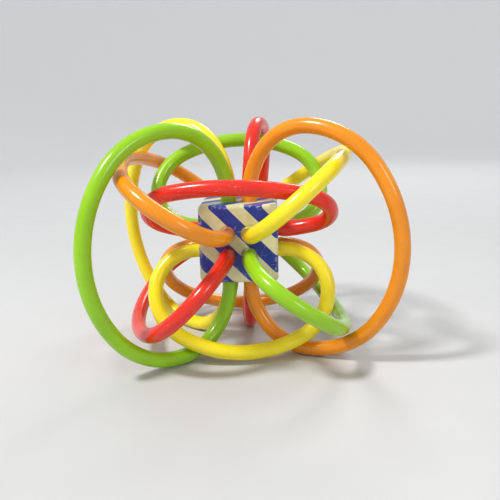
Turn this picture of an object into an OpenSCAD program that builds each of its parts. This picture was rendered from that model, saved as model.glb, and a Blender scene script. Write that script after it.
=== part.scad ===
// Loop rattle: a small striped cube with twelve soft tube loops.
// Every loop leaves one face of the cube and comes back into the opposite face.
// Upright loops join the top and bottom, cross loops the left and right, through loops the front and back.

/* [Cube] */
// Side of the cube
cube_side = 33.5; // [32:0.5:36]
// Wall of the two shells
wall = 2.5; // [2:0.1:2.8]
// Radius along the twelve edges
edge_r = 1.8; // [1:0.1:2.4]
// Leg of the cut at each corner
corner_cut = 4.5; // [3:0.1:5.5]

/* [Tubes] */
// Outside diameter of every tube
tube_d = 6.5; // [6:0.1:6.6]
// Bore of every tube
bore_d = 3.6; // [3:0.1:4]
// Distance between neighbouring tube centres on a face
hole_pitch = 9.2; // [9:0.1:10]
// Radial clearance of a tube in its hole
hole_gap = 0.08; // [0.04:0.01:0.1]
// Straight length of tube outside a face
straight = 1.6; // [1.2:0.1:3]
// Where the crest of a loop lies, as a part of its reach
crest_place = 0.4; // [0.36:0.01:0.44]

/* [Rattle] */
// Outside radius of the capsule
capsule_r = 10; // [9.5:0.1:10.2]
// Wall of the capsule
capsule_wall = 1; // [0.8:0.1:1.2]
// Diameter of a bead
bead_d = 5; // [4:0.1:5.2]
// Distance of a bead column from each middle plane
bead_place = 3.3; // [3:0.1:3.5]

/* [Upright loops] */
// Lower rise of the four upright loops, on which the toy stands
foot_rise = 47.5; // [46:0.5:50]

// Green upright loop, front left: swing about its ends
upright_green_swing = 220; // [215:1:225]
// Green upright loop, front left: reach of its far side
upright_green_reach = 67.5; // [64.5:0.5:70.5]
// Green upright loop, front left: rise of its upper crest
upright_green_rise = 47.5; // [45.5:0.5:49.5]
// Green upright loop, front left: twist of its crests out of one plane
upright_green_twist = -1; // [-4:1:2]

// Orange upright loop, right: swing about its ends
upright_orange_swing = -25; // [-30:1:-20]
// Orange upright loop, right: reach of its far side
upright_orange_reach = 66.5; // [63.5:0.5:69.5]
// Orange upright loop, right: rise of its upper crest
upright_orange_rise = 48.5; // [46.5:0.5:50.5]
// Orange upright loop, right: twist of its crests out of one plane
upright_orange_twist = -5; // [-8:1:-2]

// Yellow upright loop, back left: swing about its ends
upright_yellow_swing = 144; // [139:1:149]
// Yellow upright loop, back left: reach of its far side
upright_yellow_reach = 66; // [63:0.5:69]
// Yellow upright loop, back left: rise of its upper crest
upright_yellow_rise = 49.5; // [47.5:0.5:51.5]
// Yellow upright loop, back left: twist of its crests out of one plane
upright_yellow_twist = 5; // [2:1:8]

// Red upright loop, back: swing about its ends
upright_red_swing = 87; // [82:1:92]
// Red upright loop, back: reach of its far side
upright_red_reach = 56.5; // [53.5:0.5:59.5]
// Red upright loop, back: rise of its upper crest
upright_red_rise = 49.5; // [47.5:0.5:51.5]
// Red upright loop, back: twist of its crests out of one plane
upright_red_twist = -8; // [-11:1:-5]

/* [Cross loops] */
// Red cross loop, front upper: swing about its ends
cross_red_swing = 144; // [139:1:149]
// Red cross loop, front upper: reach of its far side
cross_red_reach = 36; // [33:0.5:39]
// Red cross loop, front upper: rise of its left crest
cross_red_rise = 37.5; // [35.5:0.5:39.5]
// Red cross loop, front upper: rise of its right crest
cross_red_rise_right = 38.5; // [36.5:0.5:40.5]
// Red cross loop, front upper: twist of its crests out of one plane
cross_red_twist = 2; // [-1:1:5]

// Yellow cross loop, front lower: swing about its ends
cross_yellow_swing = 246; // [241:1:251]
// Yellow cross loop, front lower: reach of its far side
cross_yellow_reach = 45; // [42:0.5:48]
// Yellow cross loop, front lower: rise of its left crest
cross_yellow_rise = 36.5; // [34.5:0.5:38.5]
// Yellow cross loop, front lower: rise of its right crest
cross_yellow_rise_right = 38.5; // [36.5:0.5:40.5]
// Yellow cross loop, front lower: twist of its crests out of one plane
cross_yellow_twist = 8; // [5:1:11]

// Green cross loop, back upper: swing about its ends
cross_green_swing = 58; // [53:1:63]
// Green cross loop, back upper: reach of its far side
cross_green_reach = 44; // [41:0.5:47]
// Green cross loop, back upper: rise of its left crest
cross_green_rise = 38.5; // [36.5:0.5:40.5]
// Green cross loop, back upper: rise of its right crest
cross_green_rise_right = 37; // [35:0.5:39]
// Green cross loop, back upper: twist of its crests out of one plane
cross_green_twist = 2; // [-1:1:5]

// Orange cross loop, back lower: swing about its ends
cross_orange_swing = -42; // [-47:1:-37]
// Orange cross loop, back lower: reach of its far side
cross_orange_reach = 62.5; // [59.5:0.5:65.5]
// Orange cross loop, back lower: rise of its left crest
cross_orange_rise = 38; // [36:0.5:40]
// Orange cross loop, back lower: rise of its right crest
cross_orange_rise_right = 37; // [35:0.5:39]
// Orange cross loop, back lower: twist of its crests out of one plane
cross_orange_twist = 1; // [-2:1:4]

/* [Through loops] */
// Orange through loop, upper left: swing about its ends
through_orange_swing = 145; // [140:1:150]
// Orange through loop, upper left: reach of its far side
through_orange_reach = 54; // [51:0.5:57]
// Orange through loop, upper left: rise of its front crest
through_orange_rise = 49.5; // [47.5:0.5:51.5]
// Orange through loop, upper left: rise of its back crest
through_orange_rise_back = 46.5; // [44.5:0.5:48.5]
// Orange through loop, upper left: twist of its crests out of one plane
through_orange_twist = 3; // [0:1:6]

// Yellow through loop, upper right: swing about its ends
through_yellow_swing = 38; // [33:1:43]
// Yellow through loop, upper right: reach of its far side
through_yellow_reach = 52; // [49:0.5:55]
// Yellow through loop, upper right: rise of its front crest
through_yellow_rise = 40; // [38:0.5:42]
// Yellow through loop, upper right: rise of its back crest
through_yellow_rise_back = 49.5; // [47.5:0.5:51.5]
// Yellow through loop, upper right: twist of its crests out of one plane
through_yellow_twist = 3; // [0:1:6]

// Red through loop, lower left: swing about its ends
through_red_swing = 216; // [211:1:221]
// Red through loop, lower left: reach of its far side
through_red_reach = 53; // [50:0.5:56]
// Red through loop, lower left: rise of its front crest
through_red_rise = 44; // [42:0.5:46]
// Red through loop, lower left: rise of its back crest
through_red_rise_back = 47.5; // [45.5:0.5:49.5]
// Red through loop, lower left: twist of its crests out of one plane
through_red_twist = 10; // [7:1:13]

// Green through loop, lower right: swing about its ends
through_green_swing = -39; // [-44:1:-34]
// Green through loop, lower right: reach of its far side
through_green_reach = 52.5; // [49.5:0.5:55.5]
// Green through loop, lower right: rise of its front crest
through_green_rise = 48; // [46:0.5:50]
// Green through loop, lower right: rise of its back crest
through_green_rise_back = 58.5; // [56.5:0.5:60.5]
// Green through loop, lower right: twist of its crests out of one plane
through_green_twist = 4; // [1:1:7]

/* [Hidden] */
$fn = 48;

GREEN = [0.48, 0.78, 0.05];
ORANGE = [0.95, 0.45, 0.03];
YELLOW = [0.96, 0.86, 0.05];
RED = [0.86, 0.1, 0.06];
NAVY = [0.12, 0.14, 0.42];
CREAM = [0.87, 0.82, 0.66];
WHITE = [0.93, 0.93, 0.9];

// The origin lies on the floor, under the middle of the whole toy
cube_centre = [-3.4, -5.8, foot_rise + tube_d/2];

half_side = cube_side/2;
inside = half_side - wall;
mouth = half_side + straight;
// How far a cutter reaches past what it cuts, and the least bite of one face into another
past = 1;
bite = 0.001;
hole_at = hole_pitch/2;
hole_d = tube_d + 2*hole_gap;

// End of a tube inside the cube, and the collar of its plug
end_gap = 0.3;
collar_space = 0.6;
collar_d = hole_pitch - collar_space;
collar_t = 1.8;
spigot_gap = 0.02;
spigot_root = 0.1;
spigot_len = wall + straight;
tube_end = inside - end_gap;

// A tube is a chain of bends. Each bend stops short, and a sleeve a hair wider bridges it to the next.
bend_short = 0.1;
sleeve_len = 0.5;
sleeve_ease = 0.008;

// Posts that join the shells, in the four corners, and their pegs and ribs
post_inset = 1.5;
post_at = inside - post_inset;
post_out = post_at*sqrt(2);
post_d = 4.6;
post_root = 0.5;
peg_d = 2.4;
peg_len = 4;
peg_root = 1;
peg_gap = 0.05;
rib_from = 4;
rib_t = 1.4;
rib_depth = 7;
rib_gap = 0.05;
seam = 0.1;
lip_t = 1.1;
lip_len = 1.1;
lip_gap = 0.1;
lip_root = 0.5;

capsule_in = capsule_r - capsule_wall;
capsule_lip = 1.2;
capsule_lip_t = 0.5;
capsule_lip_root = 0.3;
capsule_gap = 0.05;
// Depth of a bead's centre below the cube's when it lies in the cup
bead_gap = 0.05;
bead_drop = sqrt(pow(capsule_in - bead_d/2 - bead_gap, 2) - 2*bead_place*bead_place);

// Stations of a loop, as [place, heading]: the two mouths, the two crests and the far side.
// Local X points to the far side and local Z runs along the line through both mouths.
function stations(reach, rise_a, rise_b, twist) = let(
  crest_x = crest_place*reach*cos(twist),
  crest_y = crest_place*reach*sin(twist)
) [
  [[0, 0, mouth], [0, 0, 1]],
  [[crest_x, crest_y, rise_a], [cos(twist), sin(twist), 0]],
  [[reach, 0, 0], [0, -sin(twist), -cos(twist)]],
  [[crest_x, -crest_y, -rise_b], [-cos(twist), sin(twist), 0]],
  [[0, 0, -mouth], [0, 0, 1]]
];

// Two bends that join two stations smoothly, each as [start, heading, end]
function bend_pair(a, b) = let(
  v = b[0] - a[0],
  t = a[1] + b[1],
  k = 1 - a[1]*b[1],
  d = (-(v*t) + sqrt((v*t)*(v*t) + 2*k*(v*v))) / (2*k),
  middle = (a[0] + d*a[1] + b[0] - d*b[1]) / 2,
  turn = middle - a[0] - d*a[1]
) [[a[0], a[1], middle], [middle, turn/norm(turn), b[0]]];

function bends(s) = [for (i = [0:len(s) - 2]) each bend_pair(s[i], s[i + 1])];

// Matrix that puts local X, Y and Z along three directions, at a place
function frame_at(x, y, z, place) = [
  [x[0], y[0], z[0], place[0]],
  [x[1], y[1], z[1], place[1]],
  [x[2], y[2], z[2], place[2]],
  [0, 0, 0, 1]
];

// A round bend of diameter d from one point to another, leaving along a heading
module bend(from, heading, to, d) {
  v = to - from;
  along = v*heading;
  side = v - along*heading;
  inward = side/norm(side);
  turn = 2*atan2(norm(side), along);
  r = norm(v) / (2*sin(turn/2));
  trim = bend_short/r * 180/PI;
  multmatrix(frame_at(-inward, heading, cross(heading, inward), from + r*inward))
    rotate([0, 0, trim])
      rotate_extrude(angle = turn - 2*trim)
        translate([r, 0]) circle(d = d);
}

// The short sleeve that joins two bends where the route has this heading
module sleeve(place, heading, d) {
  flat = cross([0, 1, 0], heading);
  x = flat/norm(flat);
  multmatrix(frame_at(x, cross(heading, x), heading, place))
    cylinder(d = d + 2*sleeve_ease, h = sleeve_len, center = true);
}

// The whole route of a loop, as a round bar of diameter d whose ends reach past by `extra`
module route(s, d, extra) {
  b = bends(s);
  for (part = b) bend(part[0], part[1], part[2], d);
  for (i = [1:len(b) - 1]) sleeve(b[i][0], b[i][1], d);
  for (m = [0, 1]) mirror([0, 0, m]) {
    translate([0, 0, tube_end - extra])
      cylinder(d = d, h = mouth - tube_end + extra - bend_short);
    sleeve([0, 0, mouth], [0, 0, 1], d);
  }
}

module tube(s) {
  difference() {
    route(s, tube_d, 0);
    route(s, bore_d, past);
  }
}

// The two plugs of a tube: a spigot in its bore and a collar that can't pass through the hole
module plugs() {
  for (m = [0, 1]) mirror([0, 0, m]) {
    translate([0, 0, tube_end - collar_t]) cylinder(d = collar_d, h = collar_t);
    translate([0, 0, tube_end - spigot_root])
      cylinder(d = bore_d - 2*spigot_gap, h = spigot_len + spigot_root);
  }
}

// The three families of loops: a pair of signs picks the hole, and swing turns the loop about its ends
module upright(sx, sy, swing) {
  translate(cube_centre + hole_at*[sx, sy, 0])
    rotate([0, 0, swing]) children();
}

module cross_wise(sy, sz, swing) {
  translate(cube_centre + hole_at*[0, sy, sz])
    rotate([0, -90, 0]) rotate([0, 0, 90 - swing]) children();
}

module through(sx, sz, swing) {
  translate(cube_centre + hole_at*[sx, 0, sz])
    rotate([90, 0, 0]) rotate([0, 0, swing]) children();
}

// A square with round corners, as two crossed bars and four discs
module round_square(side, r) {
  square([side, side - 2*r], center = true);
  square([side - 2*r, side], center = true);
  for (x = [-1, 1], y = [-1, 1]) translate((side/2 - r)*[x, y]) circle(r);
}

module round_bar() {
  linear_extrude(height = cube_side + 2*past, center = true) round_square(cube_side, edge_r);
}

// The outside of the cube, with round edges and cut corners
module cube_outside() {
  cut_at = (3*half_side - corner_cut)/sqrt(3);
  tip = acos(1/sqrt(3));
  difference() {
    intersection() {
      cube(cube_side, center = true);
      round_bar();
      rotate([90, 0, 0]) round_bar();
      rotate([0, 90, 0]) round_bar();
    }
    for (turn = [45:90:315], flip = [0, 180])
      rotate([flip, 0, turn]) rotate([0, tip, 0])
        translate([-cube_side/2, -cube_side/2, cut_at]) cube(cube_side);
  }
}

module drill() {
  cylinder(d = hole_d, h = cube_side + 2*past, center = true);
}

// All twelve pairs of tube holes, drilled right through
module tube_holes() {
  for (a = [-1, 1], b = [-1, 1]) {
    translate(hole_at*[a, b, 0]) drill();
    translate(hole_at*[a, 0, b]) rotate([90, 0, 0]) drill();
    translate(hole_at*[0, a, b]) rotate([0, 90, 0]) drill();
  }
}

// One half of the hollow cube: side is -1 for the front and 1 for the rear
module half_shell(side) {
  difference() {
    intersection() {
      cube_outside();
      translate([0, side*cube_side/2, 0])
        cube([2*cube_side, cube_side, 2*cube_side], center = true);
    }
    cube(2*inside, center = true);
    tube_holes();
  }
}

// Four posts with a rib each that holds the capsule; they stop a hair short of the seam
module posts(side) {
  depth = inside + post_root;
  difference() {
    for (turn = [45:90:315]) rotate([0, turn, 0]) {
      translate([post_out, side*(seam + depth/2), 0])
        rotate([90, 0, 0]) cylinder(d = post_d, h = depth, center = true);
      translate([(post_out + rib_from)/2, side*(seam + rib_depth/2), 0])
        cube([post_out - rib_from, rib_depth, rib_t], center = true);
    }
    sphere(capsule_r + rib_gap);
  }
}

module pegs(d, len) {
  for (x = [-1, 1], z = [-1, 1])
    translate([post_at*x, peg_root, post_at*z])
      rotate([90, 0, 0]) cylinder(d = d, h = len + peg_root);
}

// The ring around the seam that lines the two shells up
module seam_ring(t, len) {
  difference() {
    translate([0, (len - 2*lip_root)/2, 0])
      cube([2*(inside + t), len + 2*lip_root, 2*(inside + t)], center = true);
    cube([2*inside - bite, cube_side, 2*inside - bite], center = true);
  }
}

module front_shell() {
  color(CREAM) translate(cube_centre) difference() {
    union() {
      half_shell(-1);
      posts(-1);
      seam_ring(lip_t, lip_len);
    }
    pegs(peg_d + 2*peg_gap, peg_len + peg_gap);
  }
}

module rear_shell() {
  color(CREAM) translate(cube_centre) {
    difference() {
      union() {
        half_shell(1);
        posts(1);
      }
      seam_ring(lip_t + lip_gap, lip_len + lip_gap);
    }
    pegs(peg_d, peg_len);
  }
}

module capsule_skin() {
  difference() {
    sphere(capsule_r);
    sphere(capsule_in);
  }
}

module lower_half() {
  translate([0, 0, -cube_side/2]) cube(cube_side, center = true);
}

module capsule_cup() {
  color(WHITE) translate(cube_centre) {
    intersection() {
      capsule_skin();
      lower_half();
    }
    difference() {
      translate([0, 0, -capsule_lip_root])
        cylinder(r = capsule_in + capsule_lip_t, h = capsule_lip + capsule_lip_root);
      sphere(capsule_in);
    }
  }
}

module capsule_lid() {
  color(WHITE) translate(cube_centre) difference() {
    capsule_skin();
    lower_half();
    translate([0, 0, -past])
      cylinder(r = capsule_in + capsule_lip_t + capsule_gap, h = capsule_lip + capsule_gap + past);
  }
}

// A bead lying in the cup; it can jump straight up to the lid
module bead(sx, sy) {
  translate(cube_centre + [sx*bead_place, sy*bead_place, -bead_drop])
    sphere(d = bead_d);
}

module bead_1() { color(RED) bead(-1, -1); }
module bead_2() { color(YELLOW) bead(1, -1); }
module bead_3() { color(GREEN) bead(-1, 1); }
module bead_4() { color(ORANGE) bead(1, 1); }

module upright_green_tube() {
  color(GREEN) upright(-1, -1, upright_green_swing)
    tube(stations(upright_green_reach, upright_green_rise, foot_rise, upright_green_twist));
}

module upright_green_plugs() {
  color(WHITE) upright(-1, -1, upright_green_swing) plugs();
}

module upright_orange_tube() {
  color(ORANGE) upright(1, -1, upright_orange_swing)
    tube(stations(upright_orange_reach, upright_orange_rise, foot_rise, upright_orange_twist));
}

module upright_orange_plugs() {
  color(WHITE) upright(1, -1, upright_orange_swing) plugs();
}

module upright_yellow_tube() {
  color(YELLOW) upright(-1, 1, upright_yellow_swing)
    tube(stations(upright_yellow_reach, upright_yellow_rise, foot_rise, upright_yellow_twist));
}

module upright_yellow_plugs() {
  color(WHITE) upright(-1, 1, upright_yellow_swing) plugs();
}

module upright_red_tube() {
  color(RED) upright(1, 1, upright_red_swing)
    tube(stations(upright_red_reach, upright_red_rise, foot_rise, upright_red_twist));
}

module upright_red_plugs() {
  color(WHITE) upright(1, 1, upright_red_swing) plugs();
}

module cross_red_tube() {
  color(RED) cross_wise(-1, 1, cross_red_swing)
    tube(stations(cross_red_reach, cross_red_rise, cross_red_rise_right, cross_red_twist));
}

module cross_red_plugs() {
  color(WHITE) cross_wise(-1, 1, cross_red_swing) plugs();
}

module cross_yellow_tube() {
  color(YELLOW) cross_wise(-1, -1, cross_yellow_swing)
    tube(stations(cross_yellow_reach, cross_yellow_rise, cross_yellow_rise_right, cross_yellow_twist));
}

module cross_yellow_plugs() {
  color(WHITE) cross_wise(-1, -1, cross_yellow_swing) plugs();
}

module cross_green_tube() {
  color(GREEN) cross_wise(1, 1, cross_green_swing)
    tube(stations(cross_green_reach, cross_green_rise, cross_green_rise_right, cross_green_twist));
}

module cross_green_plugs() {
  color(WHITE) cross_wise(1, 1, cross_green_swing) plugs();
}

module cross_orange_tube() {
  color(ORANGE) cross_wise(1, -1, cross_orange_swing)
    tube(stations(cross_orange_reach, cross_orange_rise, cross_orange_rise_right, cross_orange_twist));
}

module cross_orange_plugs() {
  color(WHITE) cross_wise(1, -1, cross_orange_swing) plugs();
}

module through_orange_tube() {
  color(ORANGE) through(-1, 1, through_orange_swing)
    tube(stations(through_orange_reach, through_orange_rise, through_orange_rise_back, through_orange_twist));
}

module through_orange_plugs() {
  color(WHITE) through(-1, 1, through_orange_swing) plugs();
}

module through_yellow_tube() {
  color(YELLOW) through(1, 1, through_yellow_swing)
    tube(stations(through_yellow_reach, through_yellow_rise, through_yellow_rise_back, through_yellow_twist));
}

module through_yellow_plugs() {
  color(WHITE) through(1, 1, through_yellow_swing) plugs();
}

module through_red_tube() {
  color(RED) through(-1, -1, through_red_swing)
    tube(stations(through_red_reach, through_red_rise, through_red_rise_back, through_red_twist));
}

module through_red_plugs() {
  color(WHITE) through(-1, -1, through_red_swing) plugs();
}

module through_green_tube() {
  color(GREEN) through(1, -1, through_green_swing)
    tube(stations(through_green_reach, through_green_rise, through_green_rise_back, through_green_twist));
}

module through_green_plugs() {
  color(WHITE) through(1, -1, through_green_swing) plugs();
}

front_shell();
rear_shell();
capsule_cup();
capsule_lid();
bead_1();
bead_2();
bead_3();
bead_4();
upright_green_tube();
upright_orange_tube();
upright_yellow_tube();
upright_red_tube();
cross_red_tube();
cross_yellow_tube();
cross_green_tube();
cross_orange_tube();
through_orange_tube();
through_yellow_tube();
through_red_tube();
through_green_tube();
upright_green_plugs();
upright_orange_plugs();
upright_yellow_plugs();
upright_red_plugs();
cross_red_plugs();
cross_yellow_plugs();
cross_green_plugs();
cross_orange_plugs();
through_orange_plugs();
through_yellow_plugs();
through_red_plugs();
through_green_plugs();
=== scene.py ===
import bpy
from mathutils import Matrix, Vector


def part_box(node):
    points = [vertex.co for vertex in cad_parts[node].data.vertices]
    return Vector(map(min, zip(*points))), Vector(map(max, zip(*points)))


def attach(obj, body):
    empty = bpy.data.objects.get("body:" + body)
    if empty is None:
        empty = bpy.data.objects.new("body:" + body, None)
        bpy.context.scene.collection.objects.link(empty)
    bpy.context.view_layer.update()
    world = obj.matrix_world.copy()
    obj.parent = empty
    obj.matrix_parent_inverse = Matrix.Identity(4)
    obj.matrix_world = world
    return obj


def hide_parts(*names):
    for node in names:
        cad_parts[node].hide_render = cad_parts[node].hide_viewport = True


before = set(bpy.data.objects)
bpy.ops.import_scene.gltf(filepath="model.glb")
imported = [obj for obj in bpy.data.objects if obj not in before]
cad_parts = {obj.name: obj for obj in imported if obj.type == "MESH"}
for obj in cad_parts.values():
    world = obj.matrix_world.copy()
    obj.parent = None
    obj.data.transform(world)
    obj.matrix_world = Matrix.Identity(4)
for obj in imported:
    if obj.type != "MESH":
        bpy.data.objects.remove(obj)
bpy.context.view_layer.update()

import math

import bmesh
import bpy
from mathutils import Matrix, Vector

MM = 0.001
CUBE_LO = Vector(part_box("front_shell")[0])
CUBE_HI = Vector(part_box("rear_shell")[1])
CENTRE = (CUBE_LO + CUBE_HI) / 2
HALF = (CUBE_HI.x - CUBE_LO.x) / 2
HOLE_AT = 4.6 * MM

# ---------------------------------------------------------------- shader helpers


class Shader:
    """A material with short calls for the nodes that the finishes are made of."""

    def __init__(self, name, **constants):
        self.mat = bpy.data.materials.new(name)
        self.mat.use_nodes = True
        self.tree = self.mat.node_tree
        self.bsdf = self.tree.nodes["Principled BSDF"]
        for socket, value in constants.items():
            self.bsdf.inputs[socket.replace("_", " ")].default_value = value
        self.place = self.node("ShaderNodeTexCoord").outputs["Object"]

    def node(self, kind, **settings):
        n = self.tree.nodes.new(kind)
        for key, value in settings.items():
            setattr(n, key, value)
        return n

    def put(self, socket, value):
        if isinstance(value, bpy.types.NodeSocket):
            self.tree.links.new(value, socket)
        else:
            socket.default_value = value

    def math(self, op, a, b=0.0, c=0.0):
        n = self.node("ShaderNodeMath", operation=op)
        for socket, value in zip(n.inputs, (a, b, c)):
            self.put(socket, value)
        return n.outputs[0]

    def step(self, value, low, high, to_low=0.0, to_high=1.0):
        """A smooth step of value from low to high."""
        n = self.node("ShaderNodeMapRange", interpolation_type="SMOOTHSTEP")
        for socket, v in zip(n.inputs, (value, low, high, to_low, to_high)):
            self.put(socket, v)
        return n.outputs[0]

    def scaled(self, vector, factors):
        n = self.node("ShaderNodeVectorMath", operation="MULTIPLY")
        self.put(n.inputs[0], vector)
        n.inputs[1].default_value = factors
        return n.outputs[0]

    def noise(self, scale, detail=3.0, rough=0.5, vector=None, distortion=0.0):
        n = self.node("ShaderNodeTexNoise")
        self.put(n.inputs["Vector"], self.place if vector is None else vector)
        for key, value in (("Scale", scale), ("Detail", detail), ("Roughness", rough)):
            n.inputs[key].default_value = value
        n.inputs["Distortion"].default_value = distortion
        return n.outputs["Fac"]

    def mix(self, factor, a, b):
        n = self.node("ShaderNodeMix", data_type="RGBA")
        self.put(n.inputs[0], factor)
        for socket, value in ((n.inputs[6], a), (n.inputs[7], b)):
            self.put(socket, (*value, 1) if isinstance(value, tuple) else value)
        return n.outputs[2]

    def split(self, vector):
        n = self.node("ShaderNodeSeparateXYZ")
        self.put(n.inputs[0], vector)
        return n.outputs[0], n.outputs[1], n.outputs[2]

    def bump(self, height, distance, strength=1.0):
        n = self.node("ShaderNodeBump")
        n.inputs["Strength"].default_value = strength
        n.inputs["Distance"].default_value = distance
        self.put(n.inputs["Height"], height)
        self.put(self.bsdf.inputs["Normal"], n.outputs[0])

    def finish(self, colour, roughness):
        self.put(self.bsdf.inputs["Base Color"], colour)
        self.put(self.bsdf.inputs["Roughness"], roughness)
        return self.mat


def shade(colour, factor):
    return tuple(channel * factor for channel in colour)


# ---------------------------------------------------------------- finishes

GREEN = (0.295, 0.59, 0.006)
ORANGE = (0.85, 0.285, 0.005)
YELLOW = (0.96, 0.79, 0.015)
RED = (0.76, 0.025, 0.010)
NAVY = (0.007, 0.026, 0.29)
CREAM = (0.69, 0.67, 0.375)
WHITE = (0.80, 0.79, 0.74)
TUBE_MAP = "tube_map"


def soft_plastic(name, colour):
    """Glossy soft tube: a little translucent, with drawn streaks, dust and light scuffs."""
    s = Shader(
        name,
        Subsurface_Weight=0.32,
        Subsurface_Radius=(1.0, 0.75, 0.45),
        Subsurface_Scale=1.6 * MM,
        IOR=1.44,
        Coat_Weight=0.24,
        Coat_Roughness=0.09,
    )
    along = s.node("ShaderNodeUVMap", uv_map=TUBE_MAP).outputs[0]
    streak = s.noise(1.0, 4.0, 0.6, s.scaled(along, (45, 2600, 1)))
    cloud = s.noise(70, 3.0, 0.5)
    dust = s.step(s.noise(1500, 2.0, 0.6), 0.67, 0.73)
    dusty = s.math("MULTIPLY", dust, s.step(s.noise(110, 2.0), 0.42, 0.7))
    scuff_line = s.noise(1.0, 5.0, 0.7, s.scaled(along, (260, 1700, 1)), 1.4)
    scuff = s.math("MULTIPLY", s.step(scuff_line, 0.6, 0.68), s.step(s.noise(55, 2.0), 0.5, 0.72))
    body = s.mix(s.step(cloud, 0.3, 0.7), shade(colour, 0.93), shade(colour, 1.04))
    body = s.mix(s.math("MULTIPLY", streak, 0.10), body, shade(colour, 0.8))
    body = s.mix(s.math("MULTIPLY", scuff, 0.22), body, (0.85, 0.83, 0.78))
    body = s.mix(s.math("MULTIPLY", dusty, 0.34), body, (0.75, 0.73, 0.68))
    rough = s.math("MULTIPLY_ADD", cloud, 0.08, 0.19)
    rough = s.math("MULTIPLY_ADD", scuff, 0.22, rough)
    rough = s.math("MULTIPLY_ADD", dusty, 0.25, rough)
    height = s.math("MULTIPLY_ADD", streak, 0.5, s.math("MULTIPLY", s.noise(420, 3.0), 0.7))
    s.bump(s.math("MULTIPLY_ADD", scuff, 0.3, height), 0.04 * MM, 0.35)
    return s.finish(body, rough)


def hard_plastic(name, colour, low=0.3, high=0.48):
    """Plain moulded plastic with a fine grain, for the pieces inside the cube."""
    s = Shader(name, IOR=1.46)
    cloud = s.noise(160, 4.0)
    grain = s.noise(3800, 3.0, 0.6)
    body = s.mix(s.step(cloud, 0.3, 0.7), shade(colour, 0.9), colour)
    body = s.mix(s.math("MULTIPLY", grain, 0.12), body, shade(colour, 0.7))
    s.bump(s.math("MULTIPLY_ADD", cloud, 0.6, grain), 0.03 * MM, 0.5)
    return s.finish(body, s.step(cloud, 0.3, 0.7, low, high))


def printed_shell(name):
    """Cream plastic with a printed navy stripe, worn at the edges, scratched and creased."""
    s = Shader(name, IOR=1.46, Coat_Weight=0.14, Coat_Roughness=0.25)
    middle = s.node("ShaderNodeVectorMath", operation="SUBTRACT")
    s.put(middle.inputs[0], s.place)
    middle.inputs[1].default_value = CENTRE
    here = s.scaled(middle.outputs[0], (1 / MM,) * 3)
    x, y, z = s.split(here)
    ax, ay, az = (s.math("ABSOLUTE", v) for v in (x, y, z))

    # The stripe, in mm: a little over half its period is navy, from part `start` to the end
    half, period, start, soft = HALF / MM, 14.74, 0.478, 0.004
    wobble = s.math("MULTIPLY_ADD", s.noise(900, 3.0), 0.16, -0.08)
    run = s.math("ADD", s.math("SUBTRACT", x, y), s.math("ADD", z, wobble))
    # A quarter period puts a cream band across the front face; whole periods keep it above 0
    phase = 0.25 - half / period + 8
    run = s.math("MULTIPLY_ADD", run, 1 / period, phase)
    part = s.math("FRACT", run)
    begins, ends = s.step(part, start - soft, start + soft), s.step(part, 1.0, 1.0 - 2 * soft)
    navy = s.math("MULTIPLY", begins, ends)

    # Only the outside is printed, and not the cut corners
    outer = s.math("MAXIMUM", s.math("MAXIMUM", ax, ay), az)
    total = s.math("ADD", s.math("ADD", ax, ay), az)
    side_sum = s.math("SUBTRACT", total, s.math("MINIMUM", s.math("MINIMUM", ax, ay), az))
    outside = s.step(outer, half - 2.0, half - 1.7)
    face = s.math("MULTIPLY", outside, s.step(total, 3 * half - 4.85, 3 * half - 5.0))
    navy = s.math("MULTIPLY", navy, face)

    # Wear: rubbed edges, scratches in two directions, and a few creases
    edge = s.step(side_sum, 2 * half - 1.9, 2 * half - 0.8)
    rub = s.math("MULTIPLY", edge, s.step(s.noise(520, 5.0, 0.7), 0.50, 0.62))
    marks = []
    for factors, low in (((210, 900, 60), 0.665), ((90, 300, 1300), 0.67)):
        line = s.noise(1.0, 4.0, 0.65, s.scaled(s.place, factors), 1.1)
        marks.append(s.step(line, low, low + 0.03))
    scratch = s.math("MAXIMUM", *marks)
    scratch = s.math("MULTIPLY", scratch, s.step(s.noise(150, 2.0), 0.45, 0.62))
    cell = s.node("ShaderNodeTexVoronoi", feature="DISTANCE_TO_EDGE")
    s.put(cell.inputs["Vector"], s.place)
    cell.inputs["Scale"].default_value = 95
    crease = s.step(cell.outputs[0], 0.022, 0.004)
    crease = s.math("MULTIPLY", crease, s.step(s.noise(120, 2.0), 0.53, 0.64))
    worn = s.math("MAXIMUM", s.math("MULTIPLY", rub, 0.55), s.math("MULTIPLY", scratch, 0.6))
    worn = s.math("MULTIPLY", s.math("MAXIMUM", worn, s.math("MULTIPLY", crease, 0.35)), face)

    # Colour: mottled cream and navy, then the wear, then painted shade round the holes and a dark
    # line in the seam
    cloud = s.noise(130, 4.0, 0.6)
    cream = s.mix(s.step(cloud, 0.32, 0.7), shade(CREAM, 0.86), shade(CREAM, 1.06))
    blue = s.mix(s.step(cloud, 0.32, 0.7), shade(NAVY, 0.85), (0.014, 0.040, 0.36))
    body = s.mix(navy, cream, blue)
    body = s.mix(worn, body, (0.80, 0.77, 0.64))
    # Painted shade: the cube is darkened in a blotchy ring round each tube hole
    painted_hole_shade = s.math("MULTIPLY", hole_shade(s, ax, ay, az), s.step(s.noise(330, 4.0), 0.3, 0.75))
    body = s.mix(s.math("MULTIPLY", painted_hole_shade, 0.45), body, (0.13, 0.10, 0.07))
    seam = s.math("MULTIPLY", s.step(ay, 0.10, 0.03), outside)
    body = s.mix(s.math("MULTIPLY", seam, 0.7), body, (0.09, 0.075, 0.05))

    rough = s.math("MULTIPLY_ADD", cloud, 0.16, 0.30)
    rough = s.math("MULTIPLY_ADD", worn, 0.25, rough)
    height = s.math("MULTIPLY_ADD", navy, 0.35, s.math("MULTIPLY", s.noise(1500, 3.0), 0.35))
    height = s.math("MULTIPLY_ADD", worn, -0.6, height)
    height = s.math("MULTIPLY_ADD", s.noise(190, 2.0), 2.0, height)
    s.bump(height, 0.04 * MM, 0.6)
    return s.finish(body, rough)


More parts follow.
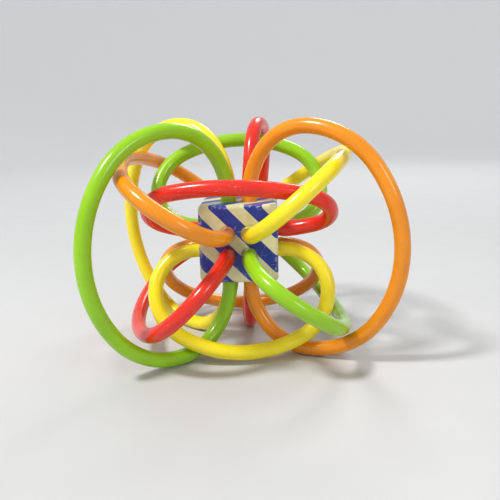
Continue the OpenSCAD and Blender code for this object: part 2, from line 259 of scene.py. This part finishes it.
def hole_shade(s, ax, ay, az):
    """One at the rim of a tube hole, falling to nothing 1.2 mm out, with places in mm."""
    hole = HOLE_AT / MM
    found = 0.0
    for across, up, depth in ((ax, az, ay), (ax, ay, az), (ay, az, ax)):
        a = s.math("SUBTRACT", across, hole)
        b = s.math("SUBTRACT", up, hole)
        r = s.math("SQRT", s.math("ADD", s.math("MULTIPLY", a, a), s.math("MULTIPLY", b, b)))
        near_outside = s.step(depth, HALF / MM - 0.95, HALF / MM - 0.35)
        ring = s.math("MULTIPLY", s.step(r, 4.5, 3.3), near_outside)
        found = s.math("MAXIMUM", found, ring)
    return found


SOFT = {
    "green": soft_plastic("soft_green", GREEN),
    "orange": soft_plastic("soft_orange", ORANGE),
    "yellow": soft_plastic("soft_yellow", YELLOW),
    "red": soft_plastic("soft_red", RED),
}
BEADS = [
    hard_plastic("bead_red", RED, 0.15, 0.25),
    hard_plastic("bead_yellow", YELLOW, 0.15, 0.25),
    hard_plastic("bead_green", GREEN, 0.15, 0.25),
    hard_plastic("bead_orange", ORANGE, 0.15, 0.25),
]
MOULDED = hard_plastic("moulded_white", WHITE)
SHELL = printed_shell("printed_shell")


def wear(node, material):
    """Puts a material in every slot of a carried-over CAD node."""
    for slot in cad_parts[node].material_slots:
        slot.material = material


for shell in ("front_shell", "rear_shell"):
    wear(shell, SHELL)
for inner in ("capsule_cup", "capsule_lid"):
    wear(inner, MOULDED)
for number, finish in enumerate(BEADS, 1):
    wear(f"bead_{number}", finish)

# ---------------------------------------------------------------- tubes

TUBE_R, BORE_R = 3.25 * MM, 1.8 * MM
STRAIGHT = 1.6 * MM
TUBE_END = HALF - 2.8 * MM
CREST_PLACE = 0.4
RINGS_EVERY, STRAIGHT_RINGS = 1.0 * MM, 4
SIDES, BORE_SIDES = 40, 16
# A bend of TIGHT_BEND or less flattens a tube by FLATTEN on its inside and outside
FLATTEN, TIGHT_BEND = 0.05 * MM, 14 * MM
# Passes of ease() that spread the flattening from one bend into the next
EASE_PASSES = 12
# A soft tube widens where it bends away from the cube, most at SWELL_AT from the face
SWELL, SWELL_AT = 0.42 * MM, 4.2 * MM
# In the plane of its bend it narrows instead: its radius grows by 1 - PINCH of the swelling
PINCH = 1.35

# name: hole signs, swing, reach, first rise, second rise and twist, as the CAD has them (mm, degrees)
UPRIGHT = {
    "upright_green": ((-1, -1), 220, 67.5, 47.5, 47.5, -1),
    "upright_orange": ((1, -1), -25, 66.5, 48.5, 47.5, -5),
    "upright_yellow": ((-1, 1), 144, 66, 49.5, 47.5, 5),
    "upright_red": ((1, 1), 87, 56.5, 49.5, 47.5, -8),
}
CROSS = {
    "cross_red": ((-1, 1), 144, 36, 37.5, 38.5, 2),
    "cross_yellow": ((-1, -1), 246, 45, 36.5, 38.5, 8),
    "cross_green": ((1, 1), 58, 44, 38.5, 37, 2),
    "cross_orange": ((1, -1), -42, 62.5, 38, 37, 1),
}
THROUGH = {
    "through_orange": ((-1, 1), 145, 54, 49.5, 46.5, 3),
    "through_yellow": ((1, 1), 38, 52, 40, 49.5, 3),
    "through_red": ((-1, -1), 216, 53, 44, 47.5, 10),
    "through_green": ((1, -1), -39, 52.5, 48, 58.5, 4),
}


def turn(axis, degrees):
    return Matrix.Rotation(math.radians(degrees), 4, axis)


def place_upright(signs, swing):
    hole = Vector((signs[0], signs[1], 0)) * HOLE_AT
    return Matrix.Translation(CENTRE + hole) @ turn("Z", swing)


def place_cross(signs, swing):
    hole = Vector((0, signs[0], signs[1])) * HOLE_AT
    return Matrix.Translation(CENTRE + hole) @ turn("Y", -90) @ turn("Z", 90 - swing)


def place_through(signs, swing):
    hole = Vector((signs[0], 0, signs[1])) * HOLE_AT
    return Matrix.Translation(CENTRE + hole) @ turn("X", 90) @ turn("Z", swing)


def stations(reach, rise_a, rise_b, twist):
    """The two mouths, two crests and far side of a loop, each as a place and a heading."""
    c, s = math.cos(math.radians(twist)), math.sin(math.radians(twist))
    crest = CREST_PLACE * reach
    mouth = HALF + STRAIGHT
    return [
        (Vector((0, 0, mouth)), Vector((0, 0, 1))),
        (Vector((crest * c, crest * s, rise_a)), Vector((c, s, 0))),
        (Vector((reach, 0, 0)), Vector((0, -s, -c))),
        (Vector((crest * c, -crest * s, -rise_b)), Vector((-c, s, 0))),
        (Vector((0, 0, -mouth)), Vector((0, 0, 1))),
    ]


def bend_pair(a, b):
    """Two arcs that join two stations smoothly, each as start, heading and end."""
    v, t = b[0] - a[0], a[1] + b[1]
    k = 1 - a[1].dot(b[1])
    d = (-v.dot(t) + math.sqrt(v.dot(t) ** 2 + 2 * k * v.dot(v))) / (2 * k)
    middle = (a[0] + d * a[1] + b[0] - d * b[1]) / 2
    return [(a[0], a[1], middle), (middle, (middle - a[0] - d * a[1]).normalized(), b[0])]


def centre_line(loop_stations):
    """Points, headings, inward directions and bend radii along the loop, from end to end."""
    mouth = HALF + STRAIGHT
    ahead, inward = Vector((0, 0, 1)), Vector((1, 0, 0))
    rows = []
    for i in range(STRAIGHT_RINGS):
        z = TUBE_END + (mouth - TUBE_END) * i / STRAIGHT_RINGS
        rows.append((Vector((0, 0, z)), ahead, inward, math.inf))
    for a, b in zip(loop_stations, loop_stations[1:]):
        for start, heading, end in bend_pair(a, b):
            v = end - start
            side = v - v.dot(heading) * heading
            inward = side.normalized()
            angle = 2 * math.atan2(side.length, v.dot(heading))
            r = v.length / (2 * math.sin(angle / 2))
            count = max(3, round(r * angle / RINGS_EVERY))
            for i in range(count):
                q = angle * i / count
                spot = start + r * (math.sin(q) * heading + (1 - math.cos(q)) * inward)
                ahead = math.cos(q) * heading + math.sin(q) * inward
                rows.append((spot, ahead, math.cos(q) * inward - math.sin(q) * heading, r))
    for i in range(STRAIGHT_RINGS + 1):
        z = -mouth + (mouth - TUBE_END) * i / STRAIGHT_RINGS
        rows.append((Vector((0, 0, z)), Vector((0, 0, 1)), inward, math.inf))
    return rows


def ease(values, passes):
    """Evens a list out, with its ends held."""
    for _ in range(passes):
        inner = [(a + 2 * b + c) / 4 for a, b, c in zip(values, values[1:], values[2:])]
        values = [values[0], *inner, values[-1]]
    return values


def tube_mesh(name, rows):
    """A closed tube wall along the rows: outside, bore and two end rings.

    Its UV map runs by length and girth, in metres.
    """
    bm = bmesh.new()
    layer = bm.loops.layers.uv.new(TUBE_MAP)
    # A straight row has an infinite bend radius, so it isn't squeezed
    squeeze = ease([min(1.0, TIGHT_BEND / bend_radius) for *_, bend_radius in rows], EASE_PASSES)
    whole = sum((b[0] - a[0]).length for a, b in zip(rows, rows[1:]))
    # The first side direction is carried along without spin
    side = rows[0][1].orthogonal().normalized()
    lengths, travelled, before = [], 0.0, rows[0][0]
    outer, bore = [], []
    for (spot, ahead, inward, _), tight in zip(rows, squeeze):
        travelled += (spot - before).length
        before = spot
        lengths.append(travelled)
        side = (side - side.dot(ahead) * ahead).normalized()
        other = ahead.cross(side)
        out_of_face = min(travelled, whole - travelled) - (HALF - TUBE_END)
        far = max(0.0, out_of_face / SWELL_AT)
        swell = SWELL * far ** 2 * math.exp(2 - 2 * far)
        for rings, radius, sides in ((outer, TUBE_R, SIDES), (bore, BORE_R, BORE_SIDES)):
            ring = []
            for i in range(sides):
                a = 2 * math.pi * i / sides
                out = math.cos(a) * side + math.sin(a) * other
                grow = 0.0
                if rings is outer:
                    in_plane = out.dot(inward) ** 2
                    grow = swell * (1 - PINCH * in_plane) - FLATTEN * tight * in_plane
                ring.append(bm.verts.new(spot + (radius + grow) * out))
            rings.append(ring)

    def wall(rings, radius, flip):
        sides = len(rings[0])
        for row in range(len(rings) - 1):
            for i in range(sides):
                j = (i + 1) % sides
                quad = [rings[row][i], rings[row][j], rings[row + 1][j], rings[row + 1][i]]
                girth = 2 * math.pi * radius / sides
                marks = [(lengths[row], i * girth), (lengths[row], (i + 1) * girth),
                         (lengths[row + 1], (i + 1) * girth), (lengths[row + 1], i * girth)]
                if flip:
                    quad, marks = quad[::-1], marks[::-1]
                face = bm.faces.new(quad)
                face.smooth = True
                for loop, mark in zip(face.loops, marks):
                    loop[layer].uv = mark

    wall(outer, TUBE_R, False)
    wall(bore, BORE_R, True)
    # End rings, filled between the outside's sides and the bore's fewer ones
    for rings_at in (0, -1):
        edges = []
        for ring in (outer[rings_at], bore[rings_at]):
            for a, b in zip(ring, ring[1:] + ring[:1]):
                edges.append(bm.edges.get((a, b)))
        bmesh.ops.triangle_fill(bm, use_beauty=True, edges=edges)
    bmesh.ops.recalc_face_normals(bm, faces=bm.faces)
    mesh = bpy.data.meshes.new(name)
    bm.to_mesh(mesh)
    bm.free()
    return mesh


def make_tube(name, place, values):
    """One soft tube, in the place of its CAD node, riding on its loop's body."""
    reach, rise_a, rise_b, twist = values
    colour = name.split("_")[1]
    rows = centre_line(stations(reach * MM, rise_a * MM, rise_b * MM, twist))
    mesh = tube_mesh(name + "_soft_tube", rows)
    mesh.transform(place)
    mesh.materials.append(SOFT[colour])
    tube = bpy.data.objects.new(name + "_soft_tube", mesh)
    bpy.context.scene.collection.objects.link(tube)
    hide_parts(name + "_tube")
    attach(tube, name + "_loop")


for family, place_of in ((UPRIGHT, place_upright), (CROSS, place_cross), (THROUGH, place_through)):
    for loop_name, (hole_signs, swing, *shape) in family.items():
        make_tube(loop_name, place_of(hole_signs, swing), shape)
        wear(loop_name + "_plugs", MOULDED)

# ---------------------------------------------------------------- floor, light and camera


def make_floor():
    """A pale round floor that curves up into a wall a long way out, so no horizon shows."""
    middle, flat, bend, wall, sides, steps = 0.5, 1.3, 0.9, 0.8, 96, 16
    profile = [(middle, 0.0), (flat, 0.0)]
    for i in range(1, steps + 1):
        a = math.pi / 2 * i / steps
        profile.append((flat + bend * math.sin(a), bend * (1 - math.cos(a))))
    profile.append((flat + bend, bend + wall))
    bm = bmesh.new()
    rings = []
    for r, z in profile:
        spots = [(r * math.cos(2 * math.pi * i / sides), r * math.sin(2 * math.pi * i / sides), z)
                 for i in range(sides)]
        rings.append([bm.verts.new(spot) for spot in spots])
    bm.faces.new(rings[0])
    for low, high in zip(rings, rings[1:]):
        for i in range(sides):
            j = (i + 1) % sides
            bm.faces.new((low[i], low[j], high[j], high[i])).smooth = True
    mesh = bpy.data.meshes.new("floor")
    bm.to_mesh(mesh)
    bm.free()
    s = Shader("pale_floor")
    tone = s.mix(s.noise(6, 3.0), (0.545, 0.545, 0.54), (0.58, 0.58, 0.575))
    # Paler where the lamps don't reach, so the wall isn't grey
    x, y, _ = s.split(s.place)
    out = s.math("SQRT", s.math("ADD", s.math("MULTIPLY", x, x), s.math("MULTIPLY", y, y)))
    tone = s.mix(s.step(out, 0.22, 1.5), tone, (0.93, 0.93, 0.925))
    mesh.materials.append(s.finish(tone, s.step(s.noise(40, 3.0), 0.3, 0.7, 0.55, 0.68)))
    floor = bpy.data.objects.new("floor", mesh)
    bpy.context.scene.collection.objects.link(floor)


def make_light(name, at, size, power, tint=(1, 1, 1)):
    """A round soft lamp that points at the cube."""
    lamp = bpy.data.lights.new(name, "AREA")
    lamp.shape = "DISK"
    lamp.size = size
    lamp.energy = power
    lamp.color = tint
    light = bpy.data.objects.new(name, lamp)
    light.location = at
    light.rotation_mode = "QUATERNION"
    light.rotation_quaternion = (CENTRE - Vector(at)).to_track_quat("-Z", "Y")
    bpy.context.scene.collection.objects.link(light)


def make_camera():
    """The camera, by its pitch, yaw and roll and where the cube's centre lies before it."""
    pitch, yaw, roll = 12.48, -1.57, -1.20
    ahead_of = Vector((-4.48, 261.69, 5.81)) * MM
    look = turn("Y", roll) @ turn("X", pitch) @ turn("Z", yaw)
    back = look.to_3x3().transposed()
    lens = bpy.data.cameras.new("camera")
    lens.sensor_width, lens.lens, lens.clip_start = 36, 42.05, 0.01
    camera = bpy.data.objects.new("camera", lens)
    stand = Matrix((back @ Vector((1, 0, 0)), back @ Vector((0, 0, 1)), back @ Vector((0, -1, 0))))
    camera.matrix_world = Matrix.Translation(CENTRE - back @ ahead_of) @ stand.transposed().to_4x4()
    bpy.context.scene.collection.objects.link(camera)
    bpy.context.scene.camera = camera


def make_sky():
    """An even pale surround, and the plain view transform."""
    sky = bpy.data.worlds.new("studio")
    sky.use_nodes = True
    light = sky.node_tree.nodes["Background"]
    light.inputs["Color"].default_value = (0.93, 0.96, 1.0, 1)
    light.inputs["Strength"].default_value = 0.58
    bpy.context.scene.world = sky
    bpy.context.scene.view_settings.view_transform = "Standard"


make_floor()
make_light("key", (-0.50, -0.35, 0.90), 0.17, 9)
make_light("fill", (0.70, -0.75, 0.50), 0.4, 2.1, (1.0, 0.97, 0.93))
make_light("rim", (0.25, 0.75, 0.8), 0.4, 3.3)
make_sky()
make_camera()
